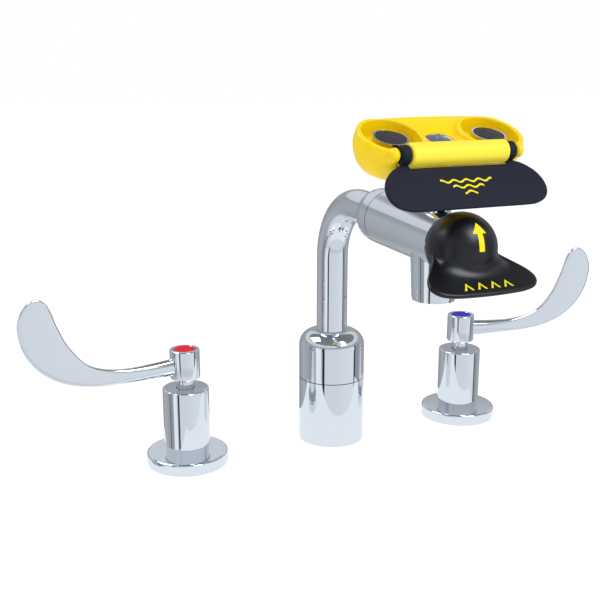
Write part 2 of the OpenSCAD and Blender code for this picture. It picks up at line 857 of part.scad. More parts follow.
spout_base();
column_seal();
spout_collar();
spout_tube();
spout_shank();
eyewash_supply_tube();
mixing_tee();
crossover_tube(-1);  // hot_crossover_tube
crossover_tube(1);  // cold_crossover_tube
compression_nuts();
under_deck_gaskets();
clamp_washers();
locknuts();
valve_body(-1);  // hot_valve_body
valve_body(1);  // cold_valve_body
flange(-1);  // hot_flange
flange(1);  // cold_flange
flange_gaskets();
sleeve(-1);  // hot_sleeve
sleeve(1);  // cold_sleeve
cartridge(-1);  // hot_cartridge
cartridge(1);  // cold_cartridge
stem(-1);  // hot_stem
stem(1);  // cold_stem
handle(-1);  // hot_handle
handle(1);  // cold_handle
handle_screw(-1);  // hot_handle_screw
handle_screw(1);  // cold_handle_screw
index_button(-1, "#f0203c");  // hot_index_button
index_button(1, "#3a34c8");  // cold_index_button
rear_cap();
cap_seal();
diverter_body();
outlet_nozzle();
aerator_housing();
aerator_screen();
valve_seat();
valve_plunger();
plunger_seal();
lever_pivot_pin();
lift_lever();
lever_crossbar();
bowl_riser();
riser_collar();
spray_manifold();
eyewash_bowl();
centre_bolt();
spray_head(-1);  // left_spray_head
spray_head(1);  // right_spray_head
spray_screen(-1);  // left_spray_screen
spray_screen(1);  // right_spray_screen
hinge_barrel();
hinge_pin();
dust_cover();
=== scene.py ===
"""Looks of a deck-mounted wrist-blade faucet with an eyewash head.

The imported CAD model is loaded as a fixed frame. Turned and bent chrome parts keep their CAD meshes and get
finishes; the moulded and cast parts whose surfaces are softer than CAD solids are modelled here and ride on
the same bodies. Lengths are written in millimetres and turned into metres by MM.
"""
import json
import logging
import math
from dataclasses import dataclass
from enum import Enum
from typing import Optional, Sequence

import bmesh
import bpy
from mathutils import Matrix, Vector

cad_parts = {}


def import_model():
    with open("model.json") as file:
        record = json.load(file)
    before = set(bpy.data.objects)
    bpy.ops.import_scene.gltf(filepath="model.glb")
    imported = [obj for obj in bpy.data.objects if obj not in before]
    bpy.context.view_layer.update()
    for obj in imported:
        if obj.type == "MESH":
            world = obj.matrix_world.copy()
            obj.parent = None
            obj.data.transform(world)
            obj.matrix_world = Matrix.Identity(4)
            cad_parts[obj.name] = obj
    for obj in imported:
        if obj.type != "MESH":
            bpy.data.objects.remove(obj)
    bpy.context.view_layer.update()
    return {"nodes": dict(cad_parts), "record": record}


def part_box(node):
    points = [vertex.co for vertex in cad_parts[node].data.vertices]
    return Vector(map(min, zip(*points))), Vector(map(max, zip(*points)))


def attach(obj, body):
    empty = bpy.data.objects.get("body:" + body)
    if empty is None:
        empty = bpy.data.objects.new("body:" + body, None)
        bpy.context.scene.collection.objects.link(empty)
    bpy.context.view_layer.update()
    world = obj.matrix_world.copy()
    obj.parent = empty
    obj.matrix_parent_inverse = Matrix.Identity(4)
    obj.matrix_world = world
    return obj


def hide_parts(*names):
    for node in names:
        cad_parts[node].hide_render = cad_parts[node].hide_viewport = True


MM = 0.001
LOG = logging.getLogger("eyewash_faucet")
Point2 = tuple[float, float]


class Side(Enum):
    """Which valve a handle belongs to: the sign of its place along X."""

    HOT = -1
    COLD = 1


class Weave(Enum):
    """How a metal surface was worked, as the stretch of its fine marks along X, Y and Z."""

    NONE = (1.0, 1.0, 1.0)
    TURNED = (1.0, 1.0, 14.0)
    DRAWN = (14.0, 14.0, 1.0)


# ---------------------------------------------------------------- finishes


@dataclass(frozen=True)
class Finish:
    """A surface finish, built once as a node material.

    Args:
        name: plain name of the finish.
        slot: the record's material slot it stands for.
        colour: linear base colour.
        metallic: 0 for plastics and rubber, 1 for metals.
        rough: mean roughness.
        rough_spread: how far roughness drifts either side of the mean.
        tone_spread: how far the colour's brightness drifts.
        grain: depth of the fine surface grain, in metres.
        grain_scale: grains per metre.
        coat: weight of a clear, glossy skin.
        weave: direction of the tool marks.
        shine: specular level of a plastic.
    """

    name: str
    slot: str
    colour: tuple[float, float, float]
    metallic: float = 0.0
    rough: float = 0.4
    rough_spread: float = 0.06
    tone_spread: float = 0.05
    grain: float = 0.00002
    grain_scale: float = 2600.0
    coat: float = 0.0
    weave: Weave = Weave.NONE
    shine: float = 0.5

    def build(self) -> bpy.types.Material:
        """Returns the finish's material, making it the first time it is asked for."""
        ready = bpy.data.materials.get(self.name)
        if ready:
            return ready
        mat = bpy.data.materials.new(self.name)
        mat.use_nodes = True
        tree = mat.node_tree
        shader = tree.nodes["Principled BSDF"]
        shader.inputs["Metallic"].default_value = self.metallic
        shader.inputs["Coat Weight"].default_value = self.coat
        shader.inputs["Coat Roughness"].default_value = 0.12
        shader.inputs["Specular IOR Level"].default_value = self.shine
        coords = tree.nodes.new("ShaderNodeTexCoord")
        stretch = tree.nodes.new("ShaderNodeMapping")
        stretch.inputs["Scale"].default_value = self.weave.value
        tree.links.new(coords.outputs["Object"], stretch.inputs["Vector"])
        tone = self._group(tree, tone_group(), Scale=140.0, Spread=self.tone_spread)
        tone.inputs["Colour"].default_value = (*self.colour, 1.0)
        rough = self._group(tree, roughness_group(), Scale=420.0, Mean=self.rough, Spread=self.rough_spread)
        grain = self._group(tree, grain_group(), Scale=self.grain_scale)
        for node, source in ((tone, coords), (rough, stretch), (grain, stretch)):
            port = source.outputs["Object"] if source is coords else source.outputs["Vector"]
            tree.links.new(port, node.inputs["Vector"])
        bump = tree.nodes.new("ShaderNodeBump")
        bump.inputs["Distance"].default_value = self.grain
        bump.inputs["Strength"].default_value = 0.6
        tree.links.new(grain.outputs["Height"], bump.inputs["Height"])
        tree.links.new(tone.outputs["Colour"], shader.inputs["Base Color"])
        tree.links.new(rough.outputs["Roughness"], shader.inputs["Roughness"])
        tree.links.new(bump.outputs["Normal"], shader.inputs["Normal"])
        return mat

    @staticmethod
    def _group(tree: bpy.types.NodeTree, group: bpy.types.NodeTree, **values: float) -> bpy.types.Node:
        """Places a shared node group in a material and sets its own values."""
        node = tree.nodes.new("ShaderNodeGroup")
        node.node_tree = group
        for socket, value in values.items():
            node.inputs[socket].default_value = value
        return node


def start_group(name: str, inputs: dict[str, str], output: tuple[str, str]) -> Optional[bpy.types.NodeTree]:
    """Makes an empty shader node group with named sockets.

    Args:
        name: the group's name.
        inputs: socket name to socket type.
        output: the output socket's name and type.

    Returns:
        The new group, with its Group Input and Group Output nodes.
    """
    group = bpy.data.node_groups.new(name, "ShaderNodeTree")
    for label, kind in inputs.items():
        group.interface.new_socket(name=label, in_out="INPUT", socket_type=kind)
    group.interface.new_socket(name=output[0], in_out="OUTPUT", socket_type=output[1])
    group.nodes.new("NodeGroupInput")
    group.nodes.new("NodeGroupOutput")
    return group


def add_noise(group: bpy.types.NodeTree, detail: float) -> bpy.types.Node:
    """Adds a noise texture fed by the group's Vector and Scale inputs."""
    noise = group.nodes.new("ShaderNodeTexNoise")
    noise.inputs["Detail"].default_value = detail
    entry = group.nodes["Group Input"]
    group.links.new(entry.outputs["Vector"], noise.inputs["Vector"])
    group.links.new(entry.outputs["Scale"], noise.inputs["Scale"])
    return noise


def spread_about(group: bpy.types.NodeTree, noise: bpy.types.Node, centre: object) -> bpy.types.Node:
    """Adds maths that gives centre + Spread * (noise - 0.5) * 2.

    Args:
        group: the group being built.
        noise: the noise node.
        centre: a socket or a plain number.

    Returns:
        The last math node.
    """
    signed = group.nodes.new("ShaderNodeMath")
    signed.operation = "MULTIPLY_ADD"
    signed.inputs[1].default_value = 2.0
    signed.inputs[2].default_value = -1.0
    group.links.new(noise.outputs["Fac"], signed.inputs[0])
    total = group.nodes.new("ShaderNodeMath")
    total.operation = "MULTIPLY_ADD"
    group.links.new(signed.outputs[0], total.inputs[0])
    group.links.new(group.nodes["Group Input"].outputs["Spread"], total.inputs[1])
    if isinstance(centre, float):
        total.inputs[2].default_value = centre
    else:
        group.links.new(centre, total.inputs[2])
    return total


def tone_group() -> bpy.types.NodeTree:
    """The group that drifts a colour's brightness a little across the surface."""
    ready = bpy.data.node_groups.get("tone drift")
    if ready:
        return ready
    floats = {"Scale": "NodeSocketFloat", "Spread": "NodeSocketFloat"}
    group = start_group("tone drift", {"Vector": "NodeSocketVector", "Colour": "NodeSocketColor", **floats},
                        ("Colour", "NodeSocketColor"))
    level = spread_about(group, add_noise(group, 3.0), 1.0)
    shade = group.nodes.new("ShaderNodeHueSaturation")
    group.links.new(level.outputs[0], shade.inputs["Value"])
    group.links.new(group.nodes["Group Input"].outputs["Colour"], shade.inputs["Color"])
    group.links.new(shade.outputs["Color"], group.nodes["Group Output"].inputs["Colour"])
    return group


def roughness_group() -> bpy.types.NodeTree:
    """The group that varies roughness as handling and polishing do."""
    ready = bpy.data.node_groups.get("polish drift")
    if ready:
        return ready
    floats = {label: "NodeSocketFloat" for label in ("Scale", "Mean", "Spread")}
    group = start_group("polish drift", {"Vector": "NodeSocketVector", **floats},
                        ("Roughness", "NodeSocketFloat"))
    level = spread_about(group, add_noise(group, 4.0), group.nodes["Group Input"].outputs["Mean"])
    group.links.new(level.outputs[0], group.nodes["Group Output"].inputs["Roughness"])
    return group


def grain_group() -> bpy.types.NodeTree:
    """The group that gives the height of a fine moulded or machined grain."""
    ready = bpy.data.node_groups.get("fine grain")
    if ready:
        return ready
    group = start_group("fine grain", {"Vector": "NodeSocketVector", "Scale": "NodeSocketFloat"},
                        ("Height", "NodeSocketFloat"))
    noise = add_noise(group, 2.0)
    group.links.new(noise.outputs["Fac"], group.nodes["Group Output"].inputs["Height"])
    return group


CHROME = Finish("polished chrome", "chrome_body", (0.77, 0.805, 0.85), 1.0, 0.045, 0.012, 0.01,
                0.000002, 300.0)
BRASS = Finish("turned brass", "brass", (0.56, 0.40, 0.14), 1.0, 0.28, 0.08, 0.08, 0.00001, 900.0,
               weave=Weave.TURNED)
COPPER = Finish("drawn copper", "copper", (0.63, 0.29, 0.14), 1.0, 0.3, 0.1, 0.12, 0.00001, 900.0,
                weave=Weave.DRAWN)
STEEL = Finish("stainless steel", "steel", (0.55, 0.56, 0.58), 1.0, 0.26, 0.07, 0.04, 0.00001, 1200.0,
               weave=Weave.TURNED)
MESH_STEEL = Finish("woven steel", "screen_mesh", (0.12, 0.125, 0.14), 1.0, 0.36, 0.08, 0.08, 0.00001)
RUBBER = Finish("moulded rubber", "black_rubber", (0.013, 0.013, 0.014), 0.0, 0.62, 0.08, 0.1, 0.00003)
YELLOW = Finish("yellow moulding", "yellow_plastic", (1.0, 0.70, 0.0), 0.0, 0.36, 0.05, 0.03, 0.000012,
                coat=0.1, shine=0.35)
PALE_YELLOW = Finish("light yellow moulding", "pale_yellow_plastic", (1.0, 0.82, 0.05), 0.0, 0.4, 0.05, 0.03,
                     0.000012, shine=0.3)
BLACK = Finish("satin black moulding", "black_plastic", (0.002, 0.002, 0.0042), 0.0, 0.34, 0.01, 0.05,
               0.0, 3400.0, shine=0.5)
NAVY = Finish("matt navy moulding", "navy_plastic", (0.0095, 0.012, 0.0225), 0.0, 0.66, 0.05, 0.08,
              0.00003, 3800.0, shine=0.22)
RED = Finish("red index enamel", "red_index", (0.85, 0.004, 0.022), 0.0, 0.5, 0.04, 0.04, 0.000008,
             shine=0.15)
BLUE = Finish("blue index enamel", "blue_index", (0.02, 0.016, 0.42), 0.0, 0.5, 0.04, 0.04, 0.000008,
              shine=0.15)
BLACK_PRINT = Finish("yellow print on black", "black_plastic", (0.95, 0.80, 0.005), 0.0, 0.5, 0.05, 0.05,
                     0.00001, shine=0.2)
NAVY_PRINT = Finish("yellow print on navy", "navy_plastic", (0.95, 0.78, 0.008), 0.0, 0.55, 0.05, 0.08,
                    0.00001, shine=0.2)
FINISHES = (CHROME, BRASS, COPPER, STEEL, MESH_STEEL, RUBBER, YELLOW, PALE_YELLOW, BLACK, NAVY, RED, BLUE)


# ---------------------------------------------------------------- shape helpers


def smooth_curve(points: Sequence[Point2], steps: int) -> list[Vector]:
    """A Catmull-Rom curve through the points.

    Args:
        points: control points.
        steps: samples between each pair.

    Returns:
        The curve's samples as 2-D vectors.
    """
    pts = [Vector(p) for p in points]
    last = len(pts) - 1
    out = []
    for i in range(last):
        a, b, c, d = pts[max(i - 1, 0)], pts[i], pts[i + 1], pts[min(i + 2, last)]
        for k in range(steps):
            t = k / steps
            out.append(0.5 * (2 * b + (c - a) * t + (2 * a - 5 * b + 4 * c - d) * t * t
                              + (3 * b - a - 3 * c + d) * t ** 3))
    out.append(pts[last])
    return out


def along(curve: Sequence[Vector], share: float) -> Vector:
    """The point at a share, from 0 to 1, of a polyline's length."""
    lengths = [(b - a).length for a, b in zip(curve, curve[1:])]
    left = share * sum(lengths)
    for a, b, length in zip(curve, curve[1:], lengths):
        if left <= length:
            return a.lerp(b, left / length)
        left -= length
    return curve[-1].copy()


def arc(centre: Point2, radius: float, start: float, end: float, steps: int) -> list[Point2]:
    """Points along an arc, by angles in degrees from the first axis towards the second."""
    angles = [math.radians(start + (end - start) * i / steps) for i in range(steps + 1)]
    return [(centre[0] + radius * math.cos(a), centre[1] + radius * math.sin(a)) for a in angles]


def spin(profile: Sequence[Point2], steps: int) -> bmesh.types.BMesh:
    """A solid of revolution about local Z.

    Args:
        profile: (radius, height) points in millimetres, from one end to the other.
        steps: faces round the axis.

    Returns:
        The closed mesh, in metres.
    """
    bm = bmesh.new()
    verts = [bm.verts.new((r * MM, 0.0, z * MM)) for r, z in profile]
    edges = [bm.edges.new(pair) for pair in zip(verts, verts[1:])]
    bmesh.ops.spin(bm, geom=verts + edges, cent=(0, 0, 0), axis=(0, 0, 1), dvec=(0, 0, 0),
                   angle=math.tau, steps=steps, use_merge=True)
    bmesh.ops.remove_doubles(bm, verts=bm.verts, dist=0.002 * MM)
    bmesh.ops.recalc_face_normals(bm, faces=bm.faces)
    return bm


def plate(outline: Sequence[Point2], thickness: float, base: float = 0.0,
          round_edge: float = 0.0) -> bmesh.types.BMesh:
    """A flat plate from an outline in local XY.

    Args:
        outline: the outline's points in millimetres, counter-clockwise.
        thickness: how far it stands up along Z.
        base: height of its underside.
        round_edge: radius that its edges are rounded to, or 0.

    Returns:
        The closed mesh, in metres.
    """
    bm = bmesh.new()
    face = bm.faces.new([bm.verts.new((x * MM, y * MM, base * MM)) for x, y in outline])
    raised = bmesh.ops.extrude_face_region(bm, geom=[face])
    top = [v for v in raised["geom"] if isinstance(v, bmesh.types.BMVert)]
    bmesh.ops.translate(bm, verts=top, vec=(0, 0, thickness * MM))
    bmesh.ops.recalc_face_normals(bm, faces=bm.faces)
    if round_edge:
        sharp = [e for e in bm.edges if e.calc_face_angle(0.0) > math.radians(50)]
        bmesh.ops.bevel(bm, geom=sharp, offset=round_edge * MM, segments=4, profile=0.5, affect="EDGES",
                        material=-1)
    return bm


def rod(radius: float, start: float, end: float, segments: int = 40,
        round_edge: float = 0.3) -> bmesh.types.BMesh:
    """A rod along local X with rounded ends' edges, from start to end."""
    profile = [(0.0, start), (radius - round_edge, start), (radius, start + round_edge),
               (radius, end - round_edge), (radius - round_edge, end), (0.0, end)]
    bm = spin(profile, segments)
    bmesh.ops.rotate(bm, verts=bm.verts, cent=(0, 0, 0), matrix=Matrix.Rotation(math.radians(90), 3, "Y"))
    return bm


def join(parts: Sequence[bmesh.types.BMesh]) -> bmesh.types.BMesh:
    """Puts several meshes into one and frees them."""
    whole = bmesh.new()
    for part in parts:
        loose = bpy.data.meshes.new("loose")
        part.to_mesh(loose)
        part.free()
        whole.from_mesh(loose)
        bpy.data.meshes.remove(loose)
    return whole


def as_object(name: str, bm: bmesh.types.BMesh, smooth_angle: Optional[float] = 40.0) -> bpy.types.Object:
    """Turns a mesh under construction into an object at the origin.

    Args:
        name: the object's name.
        bm: the mesh, which is freed.
        smooth_angle: edges sharper than this stay sharp; None leaves every face flat.

    Returns:
        The linked object.
    """
    mesh = bpy.data.meshes.new(name)
    bm.to_mesh(mesh)
    bm.free()
    obj = bpy.data.objects.new(name, mesh)
    bpy.context.scene.collection.objects.link(obj)
    if smooth_angle is not None:
        mesh.shade_smooth()
        mesh.set_sharp_from_angle(angle=math.radians(smooth_angle))
    return obj


def apply_modifiers(obj: bpy.types.Object) -> None:
    """Bakes an object's modifiers into its mesh."""
    graph = bpy.context.evaluated_depsgraph_get()
    baked = bpy.data.meshes.new_from_object(obj.evaluated_get(graph))
    obj.modifiers.clear()
    old, obj.data = obj.data, baked
    bpy.data.meshes.remove(old)


def carve(obj: bpy.types.Object, cutter: bmesh.types.BMesh, operation: str = "DIFFERENCE") -> None:
    """Applies a boolean with a throw-away cutter to an object."""
    tool = as_object("cutter", cutter, None)
    modifier = obj.modifiers.new("carve", "BOOLEAN")
    modifier.operation = operation
    modifier.solver = "EXACT"
    modifier.object = tool
    apply_modifiers(obj)
    bpy.data.objects.remove(tool, do_unlink=True)


def soften(obj: bpy.types.Object, voxel: float, rounds: int) -> None:
    """Remeshes an object evenly and rounds its edges as a mould does.

    Args:
        obj: the object.
        voxel: size of the new faces in millimetres.
        rounds: passes of smoothing.
    """
    modifier = obj.modifiers.new("even", "REMESH")
    modifier.mode = "VOXEL"
    modifier.voxel_size = voxel * MM
    apply_modifiers(obj)
    bm = bmesh.new()
    bm.from_mesh(obj.data)
    for _ in range(rounds):
        bmesh.ops.smooth_vert(bm, verts=bm.verts, factor=0.5,
                              use_axis_x=True, use_axis_y=True, use_axis_z=True)
    bmesh.ops.recalc_face_normals(bm, faces=bm.faces)
    bm.to_mesh(obj.data)
    bm.free()
    obj.data.shade_smooth()


def settle(obj: bpy.types.Object, place: Matrix) -> None:
    """Writes a placement into an object's mesh, so that the object stays at the origin."""
    obj.data.transform(place)
    obj.data.update()


def fit(obj: bpy.types.Object, body: str, finish: Finish, *nodes: str) -> bpy.types.Object:
    """Dresses a piece, sets it riding on a body and lets it stand for CAD nodes.

    Args:
        obj: the piece, already in place.
        body: the body that it moves with.
        finish: its finish.
        nodes: the CAD nodes that it replaces.

    Returns:
        The same piece.
    """
    obj.data.materials.clear()
    obj.data.materials.append(finish.build())
    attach(obj, body)
    if nodes:
        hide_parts(*nodes)
    LOG.info("%s: %d faces on %s, %s", obj.name, len(obj.data.polygons), body, finish.name)
    return obj


# ---------------------------------------------------------------- the frame's places


@dataclass(frozen=True)
class Places:
    """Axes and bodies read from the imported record.

    Args:
        record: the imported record.
    """

    record: dict

    def joint(self, name: str) -> dict:
        """The record's entry for a joint."""
        return next(j for j in self.record["behaviour"]["joints"] if j["name"] == name)

    def pivot(self, name: str) -> Vector:
        """Where a hinge turns, in metres."""
        return Vector(self.joint(name)["pos_m"])

    def run_slope(self) -> float:
        """Slope of the spout's run below horizontal, in radians."""
        _, y, z = self.joint("plunger_slide")["axis"]
        return math.atan2(-z, -y)


# ---------------------------------------------------------------- wrist-blade handles


@dataclass
class BladeHandle:
    """A cast handle: a turned hub, an oval arm and a blade that sweeps up from it.

    Args:
        side: hot or cold.
        places: the frame's places.
    """

    side: Side
    places: Places
    yaw: float = 7.5
    hub_radius: float = 9.3
    reach: float = 101.2
    rise: float = 61.3
    button_r: float = 6.75
    button_sink: float = 3.0
    half_thickness: float = 1.3
    root_half_thickness: float = 3.4
    stations: int = 96
    ring: int = 28
    outer: Sequence[Point2] = ((0.06, 0.05), (0.30, 0.06), (0.55, 0.078), (0.74, 0.152), (0.88, 0.30),
                               (0.97, 0.51), (1.0, 0.73), (0.987, 0.86), (0.95, 0.96), (0.905, 1.018))
    inner: Sequence[Point2] = ((0.06, 0.228), (0.385, 0.205), (0.59, 0.29), (0.71, 0.50), (0.775, 0.72),
                               (0.803, 0.86), (0.832, 0.96), (0.868, 1.012))

    def node(self) -> str:
        """Name of the CAD node that the handle stands for."""
        return f"{self.side.name.lower()}_handle"

    def body(self) -> str:
        """Name of the body that the handle rides on."""
        return f"{self.side.name.lower()}_lever"

    def hub(self, radius: float, height: float) -> bmesh.types.BMesh:
        """The turned hub, with its button's recess in the top."""
        return spin([(0, 0), (radius - 1.1, 0), (radius - 0.3, 0.5), (radius, 1.3), (radius, height - 0.8),
                     *arc((radius - 0.8, height - 0.8), 0.8, 0, 90, 5), (self.button_r + 0.2, height),
                     (self.button_r, height - 0.2), (self.button_r, height - self.button_sink),
                     (0, height - self.button_sink)], 72)

    def blade(self) -> bmesh.types.BMesh:
        """The arm and blade, lofted along their centreline in local XZ."""
        edge = [smooth_curve([(x * self.reach, z * self.rise) for x, z in side], 10)
                for side in (self.outer, self.inner)]
        bm = bmesh.new()
        rings = []
        for i in range(self.stations):
            share = i / (self.stations - 1)
            low, high = along(edge[0], share), along(edge[1], share)
            centre, half = (low + high) / 2, (low - high) / 2
            rings.append(self._section(bm, centre, half, share))
        for a, b in zip(rings, rings[1:]):
            bmesh.ops.bridge_loops(bm, edges=a + b)
        for loop in (rings[0], rings[-1]):
            bmesh.ops.contextual_create(bm, geom=loop)
        bmesh.ops.recalc_face_normals(bm, faces=bm.faces)
        return bm

    def _section(self, bm: bmesh.types.BMesh, centre: Vector, half: Vector, share: float) -> list:
        """Adds one cross-section and returns its edges."""
        slim = min(max((share - 0.06) / 0.42, 0.0), 1.0)
        slim = slim * slim * (3 - 2 * slim)
        thick = self.root_half_thickness + (self.half_thickness - self.root_half_thickness) * slim
        square = 2.0 + 2.2 * slim
        tip = max(0.0, (share - 0.975) / 0.025)
        close = math.sqrt(max(1 - tip * tip, 0.006))
        made = bmesh.ops.create_circle(bm, segments=self.ring, radius=1.0)
        for v in made["verts"]:
            c, s = v.co.x, v.co.y
            across = math.copysign(abs(c) ** (2 / square), c) * close
            out = math.copysign(abs(s) ** (2 / square), s) * thick * max(close, 0.55)
            v.co = Vector((centre.x + half.x * across, out, centre.y + half.y * across)) * MM
        return list({e for v in made["verts"] for e in v.link_edges})

    def build(self) -> None:
        """Builds the handle and sets it on its valve."""
        side = self.side.name.lower()
        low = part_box(self.node())[0]
        axis = self.places.pivot(f"{side}_handle_turn")
        button_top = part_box(f"{side}_index_button")[1].z
        hub_height = (button_top - low.z) / MM
        turn = 180 + self.yaw if self.side is Side.HOT else -self.yaw
        place = Matrix.Translation((axis.x, axis.y, low.z))
        arm = self.blade()
        bmesh.ops.rotate(arm, verts=arm.verts, cent=(0, 0, 0),
                         matrix=Matrix.Rotation(math.radians(turn), 3, "Z"))
        obj = as_object(f"{self.node()}_cast", join([self.hub(self.hub_radius, hub_height), arm]), 32)
        settle(obj, place)
        fit(obj, self.body(), CHROME, self.node())


# ---------------------------------------------------------------- lift lever


@dataclass
class LiftLever:
    """The black lever: a hollow dome with a brim in front, an arrow on the dome and chevrons on the brim.

    Args:
        places: the frame's places.
    """

    places: Places
    tilt: float = 26.5
    dome_r: float = 18.1
    wall: float = 2.0
    brim_top: float = -0.6
    brim_t: float = 2.5
    blend: float = 7.0
    reach: float = 33.7
    rear_cut: float = 10.0
    lower_cut: float = -13.0
    steps: int = 160
    melt: Point2 = (62.0, 96.0)
    outline: Sequence[Point2] = ((0.0, 33.7), (11.0, 33.4), (20.5, 32.6), (27.3, 30.4), (30.8, 25.6),
                                 (29.4, 19.5), (24.8, 13.0), (20.4, 6.5), (18.9, 0.0), (18.6, -6.0))

    def reach_at(self, angle: float) -> float:
        """Distance from the dome's axis to the brim's edge, at an angle from straight ahead."""
        table = [(math.atan2(p.x, p.y), p.length) for p in smooth_curve(self.outline, 8)]
        if angle >= table[-1][0]:
            return table[-1][1]
        for (a0, r0), (a1, r1) in zip(table, table[1:]):
            if a0 <= angle <= a1:
                return r0 + (r1 - r0) * (angle - a0) / max(a1 - a0, 1e-9)
        return self.reach

    def profile(self) -> list[Point2]:
        """The shell's profile straight ahead, from the outer pole to the inner pole."""
        edge = self.brim_t / 2
        low = self.brim_top - self.brim_t
        centre_z = self.brim_top + self.blend
        centre_r = math.sqrt((self.dome_r + self.blend) ** 2 - centre_z ** 2)
        touch = math.degrees(math.atan2(centre_z, centre_r))
        inner = self.dome_r - self.wall
        outer_low = math.degrees(math.asin(self.lower_cut / self.dome_r))
        outer_high = math.degrees(math.asin((low - 0.4) / self.dome_r))
        inner_low = math.degrees(math.asin(self.lower_cut / inner))
        flat = self.reach - edge
        return [*arc((0, 0), self.dome_r, 90, touch, 26),
                *arc((centre_r, centre_z), self.blend, 180 + touch, 270, 12)[1:],
                *[(centre_r + (flat - centre_r) * i / 5, self.brim_top) for i in range(1, 5)],
                *arc((flat, self.brim_top - edge), edge, 90, -90, 8),
                *[(flat + (self.dome_r + 0.6 - flat) * i / 6, low) for i in range(1, 7)],
                *arc((0, 0), self.dome_r, outer_high, outer_low, 8),
                *arc((0, 0), inner, inner_low, 90, 24)]

    def shell(self) -> bmesh.types.BMesh:
        """The dome and brim as one shell in the brim's frame: forward is -Y, up from the brim is +Z."""
        bm = spin(self.profile(), self.steps)
        centre_z = self.brim_top + self.blend
        centre_r = math.sqrt((self.dome_r + self.blend) ** 2 - centre_z ** 2)
        start = centre_r * self.dome_r / (self.dome_r + self.blend)
        edge = self.brim_t / 2
        flat = self.reach - edge
        for v in bm.verts:
            radius = math.hypot(v.co.x, v.co.y) / MM
            if radius <= start or v.co.z > centre_z * MM:
                continue
            angle = math.atan2(abs(v.co.x), -v.co.y)
            share = min((radius - start) / (flat - start), 1.0)
            to = start + share * (self.reach_at(angle) - edge - start) + max(radius - flat, 0.0)
            melt = min(max((math.degrees(angle) - self.melt[0]) / (self.melt[1] - self.melt[0]), 0.0), 1.0)
            melt = melt * melt * (3 - 2 * melt)
            ball = math.sqrt(max(self.dome_r ** 2 - (v.co.z / MM) ** 2, 0.0))
            to += (ball - to) * melt
            v.co.x *= to / radius
            v.co.y *= to / radius
        bmesh.ops.remove_doubles(bm, verts=bm.verts, dist=0.004 * MM)
        return bm

    def on_dome(self, bm: bmesh.types.BMesh, lift: float, proud: float) -> None:
        """Wraps a flat mark, drawn in local XY and centred, round the dome.

        Args:
            bm: the mark.
            lift: angle of its centre above the brim's plane, in degrees.
            proud: how far its top stands out of the dome.
        """
        turn = Matrix.Rotation(-math.radians(lift), 3, "X")
        for v in bm.verts:
            swing, rise = v.co.x / (self.dome_r * MM), v.co.y / (self.dome_r * MM)
            out = self.dome_r * MM + (proud * MM if v.co.z > 0 else -0.2 * MM)
            v.co = turn @ Vector((math.sin(swing), -math.cos(swing) * math.cos(rise),
                                  math.cos(swing) * math.sin(rise))) * out

    def arrow(self) -> bmesh.types.BMesh:
        """The plain arrow on the dome, wrapped to its surface."""
        half, shaft, tip, neck, tail = 3.9, 1.5, 7.6, 1.3, -7.8
        bm = plate([(-shaft, tail), (shaft, tail), (shaft, neck), (half, neck), (0, tip), (-half, neck),
                    (-shaft, neck)], 0.5)
        for axis, low, high in ((0, -4, 4), (1, -8, 8)):
            for step in range(low, high + 1):
                at = Vector((0, 0, 0))
                at[axis] = (step + 0.5) * MM
                normal = Vector((1, 0, 0)) if axis == 0 else Vector((0, 1, 0))
                bmesh.ops.bisect_plane(bm, geom=bm.verts[:] + bm.edges[:] + bm.faces[:], plane_co=at,
                                       plane_no=normal)
        self.on_dome(bm, 58.0, 0.09)
        return bm

    def chevrons(self) -> bmesh.types.BMesh:
        """A row of plain chevrons on the brim that point up towards the dome."""
        parts = []
        wide, deep, stroke, rise = 5.6, 4.4, 1.15, 0.06
        for i in range(4):
            x = (i - 1.5) * 7.6
            foot = wide / 2 - stroke * 1.1
            mark = plate([(x - wide / 2, -deep), (x - foot, -deep), (x, -stroke * 1.1),
                          (x + foot, -deep), (x + wide / 2, -deep), (x, stroke * 0.5)], 0.3)
            bmesh.ops.translate(mark, verts=mark.verts,
                                vec=(0, -25.6 * MM, (self.brim_top + rise - 0.3) * MM))
            parts.append(mark)
        return join(parts)

    def build(self) -> None:
        """Builds the lever and its marks."""
        pivot = self.places.pivot("lever_lift")
        slope = self.places.run_slope()
        place = Matrix.Translation(pivot) @ Matrix.Rotation(slope + math.radians(self.tilt), 4, "X")
        bm = self.shell()
        bmesh.ops.transform(bm, matrix=place, verts=bm.verts)
        back = Vector((0, math.cos(slope), math.sin(slope)))
        cut = bmesh.ops.bisect_plane(bm, geom=bm.verts[:] + bm.edges[:] + bm.faces[:],
                                     plane_co=pivot + back * self.rear_cut * MM, plane_no=back,
                                     clear_outer=True)
        rims = [e for e in cut["geom_cut"] if isinstance(e, bmesh.types.BMEdge)]
        bmesh.ops.bridge_loops(bm, edges=rims)
        bmesh.ops.recalc_face_normals(bm, faces=bm.faces)
        fit(as_object("lift_lever_shell", bm, 42), "lift_lever", BLACK, "lift_lever")
        for name, mark in (("lever_arrow", self.arrow()), ("lever_chevrons", self.chevrons())):
            obj = as_object(name, mark, 30)
            settle(obj, place)
            fit(obj, "lift_lever", BLACK_PRINT)


# ---------------------------------------------------------------- dust cover


